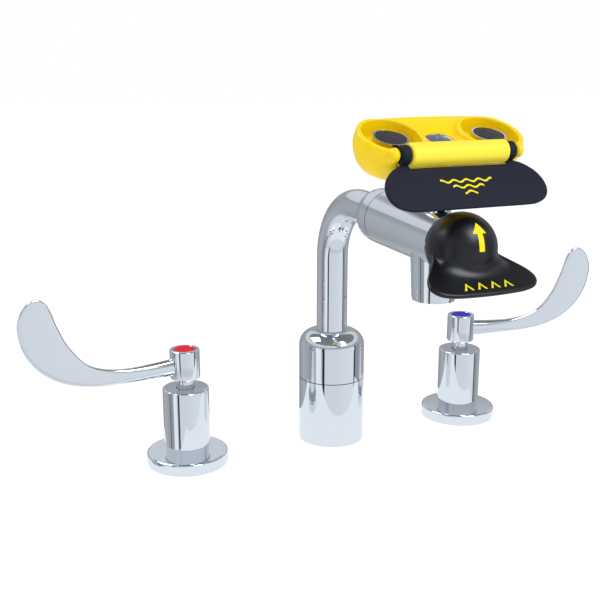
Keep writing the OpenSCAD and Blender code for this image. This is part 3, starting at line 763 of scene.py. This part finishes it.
@dataclass
class DustCover:
    """The navy cover plate with its two hinge ears and a plain printed mark.

    Args:
        places: the frame's places.
    """

    places: Places
    droop: float = 48.0
    offset: float = 3.0
    thickness: float = 2.0
    ear_r: float = 4.8
    ear: Point2 = (28.6, 33.0)
    half_outline: Sequence[Point2] = ((33.0, 4.8), (36.0, 5.6), (40.3, 8.4), (44.0, 12.5), (46.1, 18.0),
                                      (45.7, 23.4), (42.7, 27.8), (37.3, 30.3), (30.7, 31.0), (14.0, 31.0),
                                      (0.0, 31.0))

    def outline(self) -> list[Point2]:
        """The plate's outline, counter-clockwise, with the hinge at the top."""
        right = [(self.ear[0], -6.4), (self.ear[0], 0.0), (self.ear[1] - 1.0, 0.0)]
        right += [(p.x, -p.y) for p in smooth_curve(self.half_outline, 6)]
        return list(reversed(right + [(-x, y) for x, y in reversed(right[:-1])]))

    def mark(self) -> bmesh.types.BMesh:
        """A plain printed water mark: three wavy lines, one under another and shorter each time."""
        parts = []
        for row, half in enumerate((15.0, 9.0, 3.6)):
            y = -15.4 - 3.4 * row
            steps = int(half * 4)
            xs = [-half + 2 * half * i / steps for i in range(steps + 1)]
            wave = [(x, y + 0.75 * math.sin(x * math.tau / 7.2 + math.pi / 2)) for x in xs]
            low = [(x, v - 0.55) for x, v in wave]
            high = [(x, v + 0.55) for x, v in reversed(wave)]
            parts.append(plate(low + high, 0.3, -self.offset + self.thickness / 2 - 0.24))
        return join(parts)

    def build(self) -> None:
        """Builds the cover and its mark."""
        pivot = self.places.pivot("cover_hinge")
        place = Matrix.Translation(pivot) @ Matrix.Rotation(math.radians(self.droop), 4, "X")
        base = -self.offset - self.thickness / 2
        parts = [plate(self.outline(), self.thickness, base, 0.7)]
        for side in (-1, 1):
            near, far = sorted((side * self.ear[0], side * self.ear[1]))
            parts.append(rod(self.ear_r, near, far, 48, 0.5))
        cover = as_object("dust_cover_plate", join(parts), 40)
        settle(cover, place)
        fit(cover, "cover", NAVY, "dust_cover")
        mark = as_object("dust_cover_mark", self.mark(), 30)
        settle(mark, place)
        fit(mark, "cover", NAVY_PRINT)


# ---------------------------------------------------------------- eyewash bowl


@dataclass
class EyewashBowl:
    """The yellow bowl: a boat-shaped moulding with two rimmed cups and a lower saddle between them.

    Args:
        places: the frame's places.
    """

    places: Places
    tilt: float = 20.0
    cup_x: float = 29.3
    cup_r: float = 15.4
    rim: float = 2.5
    floor: float = -8.6
    saddle: float = -2.0
    trough_r: float = 26.0
    hinge: Point2 = (-17.1, -1.65)
    notch: float = 33.4
    notch_y: float = -11.0
    notch_z: float = -8.2
    rim_y: float = 16.4
    rim_z: float = 3.4
    rim_slope: float = 5.4
    levels: Sequence[tuple[float, float, float]] = (
        (-20.2, 31.5, 5.0), (-19.6, 36.5, 9.0), (-17.6, 41.2, 12.8), (-14.4, 44.4, 15.3), (-9.5, 46.9, 17.1),
        (-4.4, 48.0, 18.0), (0.0, 47.6, 17.7), (5.0, 46.6, 16.9))

    def frame(self) -> Matrix:
        """The bowl's tilted frame, with its origin midway between the spray faces."""
        low, high = (Vector(c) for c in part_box("hinge_barrel"))
        turn = Matrix.Rotation(math.radians(self.tilt), 4, "X")
        hinge = Vector((0, self.hinge[0], self.hinge[1])) * MM
        return Matrix.Translation((low + high) / 2) @ turn @ Matrix.Translation(-hinge)

    def hull(self) -> bmesh.types.BMesh:
        """The outer form, lofted through rounded outlines from the underside to the rim."""
        bm = bmesh.new()
        rings = []
        for z, half, radius in self.levels:
            made = bmesh.ops.create_circle(bm, segments=96, radius=1.0)
            for v in made["verts"]:
                c, s = v.co.x, v.co.y
                shift = (half - radius) * max(-1.0, min(1.0, c * 2.6))
                v.co = Vector((shift + radius * c, radius * s, z)) * MM
            rings.append(list({e for v in made["verts"] for e in v.link_edges}))
        for a, b in zip(rings, rings[1:]):
            bmesh.ops.bridge_loops(bm, edges=a + b)
        for loop in (rings[0], rings[-1]):
            bmesh.ops.contextual_create(bm, geom=loop)
        bmesh.ops.recalc_face_normals(bm, faces=bm.faces)
        return bm

    def cup(self, side: int) -> bmesh.types.BMesh:
        """The cutter for one cup, with a rounded floor."""
        bm = spin([(0, self.floor), (self.cup_r - 4.0, self.floor),
                   *arc((self.cup_r - 4.0, self.floor + 4.0), 4.0, -90, 0, 6)[1:],
                   (self.cup_r, 12.0), (0, 12.0)], 72)
        bmesh.ops.translate(bm, verts=bm.verts, vec=(side * self.cup_x * MM, 0, 0))
        return bm

    def saddle_cut(self) -> bmesh.types.BMesh:
        """The cutter for the saddle, between the two cups' rims."""
        ring = self.cup_r + self.rim
        rows = [-15.0 + 31.0 * i / 24 for i in range(25)]
        right = [(self.cup_x - math.sqrt(ring ** 2 - y ** 2), y) for y in rows]
        left = [(-x, y) for x, y in reversed(right)]
        return plate(right + left, 16.0, self.saddle - 1)

    def trough(self) -> bmesh.types.BMesh:
        """The round-bottomed trough that the saddle's floor follows, up to the rim at the back."""
        roller = rod(self.trough_r, -20, 20, 160, 0.1)
        bmesh.ops.translate(roller, verts=roller.verts, vec=(0, 0, (self.saddle + self.trough_r) * MM))
        return roller

    def build(self) -> None:
        """Builds the bowl."""
        bowl = as_object("eyewash_bowl_moulding", self.hull(), None)
        saddle = as_object("saddle", self.saddle_cut(), None)
        carve(saddle, self.trough(), "INTERSECT")
        hollow = bmesh.new()
        hollow.from_mesh(saddle.data)
        bpy.data.objects.remove(saddle, do_unlink=True)
        for cutter in (self.cup(-1), self.cup(1), hollow):
            carve(bowl, cutter)
        front = plate([(-self.notch, -40), (self.notch, -40), (self.notch, self.notch_y),
                       (-self.notch, self.notch_y)], 30.0, self.notch_z)
        carve(bowl, front)
        bm = bmesh.new()
        bm.from_mesh(bowl.data)
        slope = math.radians(self.rim_slope)
        cut = bmesh.ops.bisect_plane(bm, geom=bm.verts[:] + bm.edges[:] + bm.faces[:],
                                     plane_co=(0, self.rim_y * MM, self.rim_z * MM),
                                     plane_no=(0, -math.sin(slope), math.cos(slope)), clear_outer=True)
        bmesh.ops.holes_fill(bm, edges=[e for e in cut["geom_cut"] if isinstance(e, bmesh.types.BMEdge)])
        bmesh.ops.triangulate(bm, faces=bm.faces)
        bm.to_mesh(bowl.data)
        bm.free()
        for side in (-1, 1):
            near, far = sorted((side * (self.notch + 0.2), side * (self.notch + 5.4)))
            cheek = rod(3.8, near, far, 40, 1.6)
            bmesh.ops.translate(cheek, verts=cheek.verts, vec=(0, self.hinge[0] * MM, self.hinge[1] * MM))
            carve(bowl, cheek, "UNION")
        soften(bowl, 0.5, 5)
        settle(bowl, self.frame())
        fit(bowl, "fixture", YELLOW, "eyewash_bowl")


@dataclass
class SprayScreen:
    """A woven steel disc with a few larger spray holes, over one spray head.

    Args:
        node: the CAD node it stands for.
        tilt: tilt of the bowl.
    """

    node: str
    tilt: float = 20.0
    radius: float = 8.3
    pitch: float = 0.62
    depth: float = 0.16
    holes: Sequence[Point2] = ((0.0, 0.0), (2.9, 1.6), (-2.9, 1.6), (0.0, -3.2), (0.0, 4.6))

    def weave_height(self, x: float, y: float) -> float:
        """Height of the woven wires above the disc's middle plane."""
        a = math.pi / self.pitch
        over = math.sin(a * x / 2) * math.cos(a * y) ** 2
        under = math.sin(a * y / 2) * math.cos(a * x) ** 2
        return self.depth * (max(abs(math.cos(a * x)), abs(math.cos(a * y))) - 0.6 + 0.2 * (over - under))

    def build(self) -> None:
        """Builds the disc in the place of its CAD node."""
        low, high = (Vector(c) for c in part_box(self.node))
        place = Matrix.Translation((low + high) / 2) @ Matrix.Rotation(math.radians(self.tilt), 4, "X")
        bm = bmesh.new()
        bmesh.ops.create_grid(bm, x_segments=150, y_segments=150, size=self.radius * MM)
        outside = [v for v in bm.verts if v.co.length > self.radius * MM]
        bmesh.ops.delete(bm, geom=outside, context="VERTS")
        for v in bm.verts:
            x, y = v.co.x / MM, v.co.y / MM
            crown = 0.35 * (1 - (x * x + y * y) / self.radius ** 2)
            hole = min(math.hypot(x - hx, y - hy) for hx, hy in self.holes)
            lift = self.weave_height(x, y) if hole > 0.55 else -0.5
            v.co.z = (0.35 + crown + lift) * MM
        fit(as_object_at(f"{self.node}_weave", bm, place), "fixture", MESH_STEEL, self.node)


@dataclass
class CentreBolt:
    """The domed bolt head in the middle of the saddle, with a cross recess.

    Args:
        places: the frame's places.
    """

    places: Places
    tilt: float = 20.0
    radius: float = 7.8
    height: float = 2.2
    skirt: float = 0.7
    slot: Point2 = (7.4, 1.5)
    slot_depth: float = 1.3

    def build(self) -> None:
        """Builds the bolt head on its seat."""
        bowl = EyewashBowl(self.places)
        ball = (self.radius ** 2 + (self.height - self.skirt) ** 2) / (2 * (self.height - self.skirt))
        edge = math.degrees(math.acos(self.radius / ball))
        seat = bowl.saddle - 0.3
        top = seat + self.height
        profile = [(0, seat), (self.radius, seat), (self.radius, seat + self.skirt)]
        profile += arc((0, top - ball), ball, edge, 90, 14)[1:]
        obj = as_object("centre_bolt_head", spin(profile, 64), 30)
        for turn in (20, 110):
            half, wide = self.slot[0] / 2, self.slot[1] / 2
            cutter = plate([(-half, -wide), (half, -wide), (half, wide), (-half, wide)], 4.0,
                           top - self.slot_depth)
            bmesh.ops.rotate(cutter, verts=cutter.verts, cent=(0, 0, 0),
                             matrix=Matrix.Rotation(math.radians(turn), 3, "Z"))
            carve(obj, cutter)
        obj.data.shade_smooth()
        obj.data.set_sharp_from_angle(angle=math.radians(30))
        settle(obj, bowl.frame())
        fit(obj, "fixture", CHROME, "centre_bolt")


def as_object_at(name: str, bm: bmesh.types.BMesh, place: Matrix) -> bpy.types.Object:
    """Makes a smooth object and writes its placement into its mesh."""
    obj = as_object(name, bm, 60)
    settle(obj, place)
    return obj


# ---------------------------------------------------------------- carried-over CAD parts


def dress_frame(frame: dict) -> None:
    """Gives every carried-over CAD node the finish of its material slot."""
    by_slot = {finish.slot: finish for finish in FINISHES}
    for entry in frame["record"]["subparts"]:
        finish = by_slot[entry["material_slot"]]
        obj = frame["nodes"][entry["node"]]
        for slot in obj.material_slots:
            slot.material = finish.build()
        LOG.info("%s: %s", entry["node"], finish.name)


# ---------------------------------------------------------------- studio


@dataclass(frozen=True)
class Lamp:
    """One soft area light, in metres and watts.

    Args:
        name: the light's name.
        place: its centre.
        size: its width and height.
        power: its power.
    """

    name: str
    place: tuple[float, float, float]
    size: Point2
    power: float


@dataclass
class Studio:
    """The pale floor, the soft lights and the camera."""

    eye: tuple[float, float, float] = (-0.261584, -0.531428, 0.243786)
    back: tuple[float, float, float] = (-0.3971, -0.8848, 0.2440)
    lens: float = 55.66
    aim: tuple[float, float, float] = (0.0, -0.06, 0.12)
    light_colour: tuple[float, float, float] = (0.84, 0.88, 1.0)
    lamps: Sequence[Lamp] = (Lamp("key", (0.34, -0.98, 1.15), (0.7, 0.7), 12.5),
                             Lamp("top", (-0.7, 0.5, 1.2), (0.8, 0.6), 9.0))
    table_half: Point2 = (0.135, 0.069)
    table_y: float = -0.009
    table_level: float = 1.0
    bands: Sequence[Point2] = (
        (0.00, 0.84), (0.10, 0.82), (0.137, 0.84), (0.142, 0.02), (0.158, 0.02), (0.164, 0.42), (0.18, 1.0),
        (0.225, 1.05), (0.235, 0.40), (0.28, 0.36), (0.285, 0.10), (0.292, 0.10), (0.297, 0.42), (0.40, 0.52),
        (0.47, 0.38), (0.56, 0.36), (0.66, 0.40), (0.72, 0.52), (0.78, 0.36), (0.812, 0.36), (0.82, 0.03),
        (0.832, 0.03), (0.838, 0.90), (0.90, 0.90), (1.0, 0.84))
    heights: Sequence[Point2] = ((0.0, 0.85), (0.20, 0.85), (0.26, 0.50), (0.60, 0.44), (0.665, 0.42),
                                 (0.685, 0.76), (0.78, 0.82), (0.81, 0.24), (1.0, 0.20))
    height_share: Sequence[Point2] = ((0.0, 1.0), (0.20, 1.0), (0.30, 0.0), (0.55, 0.0), (0.61, 1.0),
                                      (1.0, 1.0))

    def camera(self) -> None:
        """Sets the camera."""
        data = bpy.data.cameras.new("camera")
        data.lens = self.lens
        data.sensor_width = 36.0
        data.clip_start = 0.01
        cam = bpy.data.objects.new("camera", data)
        bpy.context.scene.collection.objects.link(cam)
        cam.location = self.eye
        cam.rotation_mode = "QUATERNION"
        cam.rotation_quaternion = (-Vector(self.back)).to_track_quat("-Z", "Y")
        bpy.context.scene.camera = cam

    def light(self, lamp: Lamp) -> None:
        """Adds one soft area light aimed at the faucet's middle.

        Args:
            lamp: the light.
        """
        data = bpy.data.lights.new(lamp.name, "AREA")
        data.shape = "RECTANGLE"
        data.size, data.size_y = lamp.size
        data.energy = lamp.power
        data.color = self.light_colour
        obj = bpy.data.objects.new(lamp.name, data)
        bpy.context.scene.collection.objects.link(obj)
        obj.location = lamp.place
        aim = Vector(self.aim) - Vector(lamp.place)
        obj.rotation_mode = "QUATERNION"
        obj.rotation_quaternion = aim.to_track_quat("-Z", "Y")

    def floor(self) -> None:
        """Adds the pale floor at deck level, which mirrors do not see."""
        bm = bmesh.new()
        bmesh.ops.create_grid(bm, x_segments=1, y_segments=1, size=6.0)
        floor = as_object("floor", bm, None)
        mat = bpy.data.materials.new("pale floor")
        mat.use_nodes = True
        shader = mat.node_tree.nodes["Principled BSDF"]
        shader.inputs["Base Color"].default_value = (0.12, 0.12, 0.12, 1)
        shader.inputs["Roughness"].default_value = 0.9
        shader.inputs["Specular IOR Level"].default_value = 0.0
        shader.inputs["Emission Color"].default_value = (1, 1, 1, 1)
        shader.inputs["Emission Strength"].default_value = 1.0
        floor.data.materials.append(mat)
        floor.visible_glossy = False

    def table(self) -> None:
        """Adds the light table top that only mirrors see."""
        bm = bmesh.new()
        bmesh.ops.create_grid(bm, x_segments=1, y_segments=1, size=1.0)
        bmesh.ops.scale(bm, verts=bm.verts, vec=(*self.table_half, 1.0))
        bmesh.ops.translate(bm, verts=bm.verts, vec=(0, self.table_y, -0.0003))
        table = as_object("table", bm, None)
        mat = bpy.data.materials.new("light table")
        mat.use_nodes = True
        shader = mat.node_tree.nodes["Principled BSDF"]
        shader.inputs["Base Color"].default_value = (0, 0, 0, 1)
        shader.inputs["Roughness"].default_value = 1.0
        shader.inputs["Specular IOR Level"].default_value = 0.0
        shader.inputs["Emission Color"].default_value = (0.93, 0.965, 1, 1)
        shader.inputs["Emission Strength"].default_value = self.table_level
        table.data.materials.append(mat)
        for ray in ("camera", "diffuse", "shadow", "transmission"):
            setattr(table, f"visible_{ray}", False)

    @staticmethod
    def fill_ramp(node: bpy.types.Node, stops: Sequence[Point2]) -> None:
        """Sets a ramp's stops from (place, level) pairs, faintly cool."""
        ramp = node.color_ramp
        for i, (at, level) in enumerate(stops):
            stop = ramp.elements[i] if i < 2 else ramp.elements.new(at)
            stop.position = at
            stop.color = (level * 0.91, level * 0.95, level, 1)

    def sky(self) -> None:
        """White to the camera; to everything else a grey studio with bright and dark upright cards."""
        world = bpy.data.worlds.new("studio")
        bpy.context.scene.world = world
        world.use_nodes = True
        tree = world.node_tree
        tree.nodes.clear()
        new, link = tree.nodes.new, tree.links.new
        coords, split = new("ShaderNodeTexCoord"), new("ShaderNodeSeparateXYZ")
        link(coords.outputs["Generated"], split.inputs[0])
        angle = new("ShaderNodeMath")
        angle.operation = "ARCTAN2"
        link(split.outputs["X"], angle.inputs[0])
        link(split.outputs["Y"], angle.inputs[1])
        turn = new("ShaderNodeMath")
        turn.operation = "MULTIPLY_ADD"
        turn.inputs[1].default_value = 1 / math.tau
        turn.inputs[2].default_value = 0.5
        link(angle.outputs[0], turn.inputs[0])
        cards = new("ShaderNodeValToRGB")
        self.fill_ramp(cards, self.bands)
        link(turn.outputs[0], cards.inputs["Fac"])
        height = new("ShaderNodeMath")
        height.operation = "MULTIPLY_ADD"
        height.inputs[1].default_value = height.inputs[2].default_value = 0.5
        link(split.outputs["Z"], height.inputs[0])
        shades, share = new("ShaderNodeValToRGB"), new("ShaderNodeValToRGB")
        self.fill_ramp(shades, self.heights)
        self.fill_ramp(share, self.height_share)
        for ramp in (shades, share):
            link(height.outputs[0], ramp.inputs["Fac"])
        roof = new("ShaderNodeMixRGB")
        link(share.outputs["Color"], roof.inputs["Fac"])
        link(cards.outputs["Color"], roof.inputs["Color1"])
        link(shades.outputs["Color"], roof.inputs["Color2"])
        seen = new("ShaderNodeLightPath")
        pick = new("ShaderNodeMixRGB")
        pick.inputs["Color2"].default_value = (1, 1, 1, 1)
        link(seen.outputs["Is Camera Ray"], pick.inputs["Fac"])
        link(roof.outputs["Color"], pick.inputs["Color1"])
        shade, out = new("ShaderNodeBackground"), new("ShaderNodeOutputWorld")
        link(pick.outputs["Color"], shade.inputs["Color"])
        link(shade.outputs[0], out.inputs["Surface"])

    def build(self) -> None:
        """Builds the whole studio."""
        bpy.context.scene.view_settings.view_transform = "Standard"
        self.camera()
        self.sky()
        self.floor()
        self.table()
        for lamp in self.lamps:
            self.light(lamp)


def main() -> None:
    """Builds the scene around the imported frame."""
    logging.basicConfig(level=logging.INFO, format="%(message)s")
    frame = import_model()
    places = Places(frame["record"])
    Studio().build()
    dress_frame(frame)
    for side in Side:
        BladeHandle(side, places).build()
    LiftLever(places).build()
    DustCover(places).build()
    EyewashBowl(places).build()
    CentreBolt(places).build()
    for node in ("left_spray_screen", "right_spray_screen"):
        SprayScreen(node).build()


if __name__ == "__main__":
    main()
